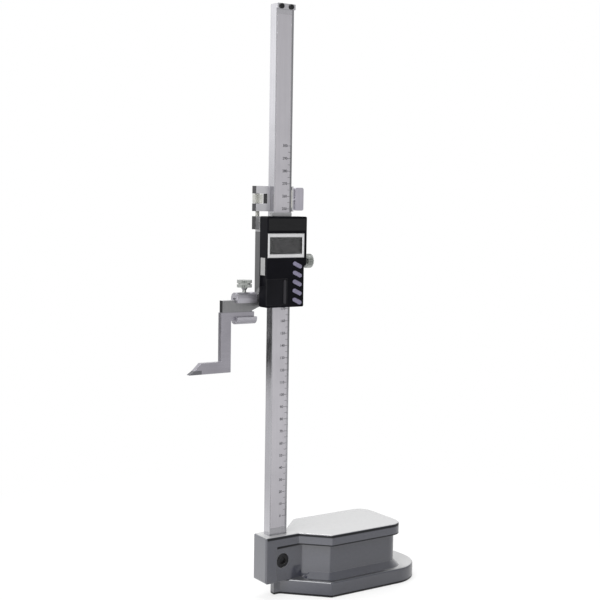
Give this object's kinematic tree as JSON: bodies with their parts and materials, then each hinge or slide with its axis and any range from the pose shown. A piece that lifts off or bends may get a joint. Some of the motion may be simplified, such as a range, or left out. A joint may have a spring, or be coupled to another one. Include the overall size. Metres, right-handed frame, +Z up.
{
  "type": "height gauge",
  "caption": "Digital height gauge: cast base, graduated column, clamped slider with display, fine adjustment and a cranked scriber.",
  "frame": {"origin": "centre of the foot's lapped underside, on the surface plate", "axes": "+Z up the column, +X from the column's nose towards the hand grip, -Y the display's side"},
  "size_m": [0.2169, 0.0666, 0.477],
  "materials": {
    "hammertone": "hammertone gloss paint over cast iron",
    "column_steel": "ground satin steel",
    "scale_steel": "satin chrome with black graduations",
    "slider_steel": "ground satin steel",
    "black_steel": "black oxide",
    "bright_steel": "bright turned steel",
    "knurled_steel": "knurled, satin chrome",
    "scriber_steel": "ground satin steel",
    "carbide": "lapped carbide",
    "brass": "plain brass",
    "housing_black": "black satin moulding",
    "bezel_silver": "silver anodised",
    "window_glass": "clear",
    "lcd": "grey liquid-crystal cell",
    "inner_rubber": "silicone",
    "panel_gloss": "gloss inlay",
    "board_green": "solder mask",
    "button_grey": "light grey caps",
    "battery_steel": "nickel plate",
    "port_grey": "light grey moulding",
    "connector_black": "black moulding"
  },
  "bodies": {
    "base": {"base_casting": "hammertone", "column_dowel": "bright_steel", "column_clamp_screw": "black_steel", "column_clamp_pad": "brass", "column": "column_steel", "scale_strip": "scale_steel", "column_stop": "column_steel", "column_stop_screws": "black_steel"},
    "slider": {"slider_body": "slider_steel", "slider_back_plate": "slider_steel", "slider_back_screws": "black_steel", "slider_gib": "brass", "gib_set_screws": "black_steel", "fine_adjust_screw": "bright_steel", "fine_adjust_pin": "bright_steel", "display_housing": "housing_black", "display_bezel": "bezel_silver", "display_window": "window_glass", "display_cell": "lcd", "cell_contact_strips": "inner_rubber", "top_panel": "panel_gloss", "circuit_board": "board_green", "reading_head": "board_green", "housing_screws": "black_steel", "key_pad": "inner_rubber", "battery": "battery_steel", "battery_contact": "bright_steel", "port_connector": "connector_black"},
    "lock_screw": {"slider_lock_screw": "knurled_steel"},
    "carriage": {"carriage_body": "slider_steel", "carriage_gib": "brass"},
    "carriage_clamp": {"carriage_clamp_screw": "scriber_steel"},
    "nut": {"fine_adjust_nut": "bright_steel"},
    "jaw_clamp": {"scriber_clamp": "slider_steel", "scriber_clamp_pad": "brass"},
    "jaw_clamp_knob": {"scriber_clamp_screw": "knurled_steel"},
    "scriber_arm": {"scriber": "scriber_steel", "scriber_tip": "carbide"},
    "battery_door": {"battery_cover": "housing_black"},
    "port_door": {"port_cover": "port_grey"},
    "key_1": {"button_1": "button_grey"},
    "key_2": {"button_2": "button_grey"},
    "key_3": {"button_3": "button_grey"},
    "key_4": {"button_4": "button_grey"},
    "key_5": {"button_5": "button_grey"}
  },
  "joints": [
    {"name": "slider_travel", "type": "slide", "parent": "base", "child": "slider", "axis": [0, 0, 1], "range_m": [-0.1876, 0.1124]},
    {"name": "lock_turn", "type": "hinge", "parent": "slider", "child": "lock_screw", "pos_m": [-0.0475, 0, 0.2742], "axis": [1, 0, 0], "range_deg": [0, 360]},
    {"name": "carriage_travel", "type": "slide", "parent": "slider", "child": "carriage", "axis": [0, 0, 1], "range_m": [-0.0007, 0.006]},
    {"name": "nut_turn", "type": "hinge", "parent": "carriage", "child": "nut", "pos_m": [-0.0845, 0.00425, 0.3242], "axis": [0, 0, 1], "range_deg": [-421, 3601]},
    {"name": "carriage_clamp_turn", "type": "hinge", "parent": "carriage", "child": "carriage_clamp", "pos_m": [-0.053, 0, 0.3242], "axis": [1, 0, 0], "range_deg": [0, 360]},
    {"name": "scriber_clamp_slide", "type": "slide", "parent": "slider", "child": "jaw_clamp", "axis": [1, 0, 0], "range_m": [-0.006, 0.0005]},
    {"name": "scriber_clamp_turn", "type": "hinge", "parent": "jaw_clamp", "child": "jaw_clamp_knob", "pos_m": [-0.09846, 0, 0.25], "axis": [0, 0, 1], "range_deg": [0, 720]},
    {"name": "scriber_slide", "type": "slide", "parent": "jaw_clamp", "child": "scriber_arm", "axis": [1, 0, 0], "range_m": [-0.008, 0.0035]},
    {"name": "battery_door_slide", "type": "slide", "parent": "slider", "child": "battery_door", "axis": [-1, 0, 0], "range_m": [0, 0.012]},
    {"name": "port_door_slide", "type": "slide", "parent": "slider", "child": "port_door", "axis": [0, 0, -1], "range_m": [0, 0.009]},
    {"name": "key_1_press", "type": "slide", "parent": "slider", "child": "key_1", "axis": [0, 1, 0], "range_m": [0, 0.0005], "stiffness_N_per_m": 800, "springref_m": -0.0002},
    {"name": "key_2_press", "type": "slide", "parent": "slider", "child": "key_2", "axis": [0, 1, 0], "range_m": [0, 0.0005], "stiffness_N_per_m": 800, "springref_m": -0.0002},
    {"name": "key_3_press", "type": "slide", "parent": "slider", "child": "key_3", "axis": [0, 1, 0], "range_m": [0, 0.0005], "stiffness_N_per_m": 800, "springref_m": -0.0002},
    {"name": "key_4_press", "type": "slide", "parent": "slider", "child": "key_4", "axis": [0, 1, 0], "range_m": [0, 0.0005], "stiffness_N_per_m": 800, "springref_m": -0.0002},
    {"name": "key_5_press", "type": "slide", "parent": "slider", "child": "key_5", "axis": [0, 1, 0], "range_m": [0, 0.0005], "stiffness_N_per_m": 800, "springref_m": -0.0002}
  ],
  "couplings": [
    {"joint": "nut_turn", "follows": "carriage_travel", "rad_per_m": 10472}
  ]
}
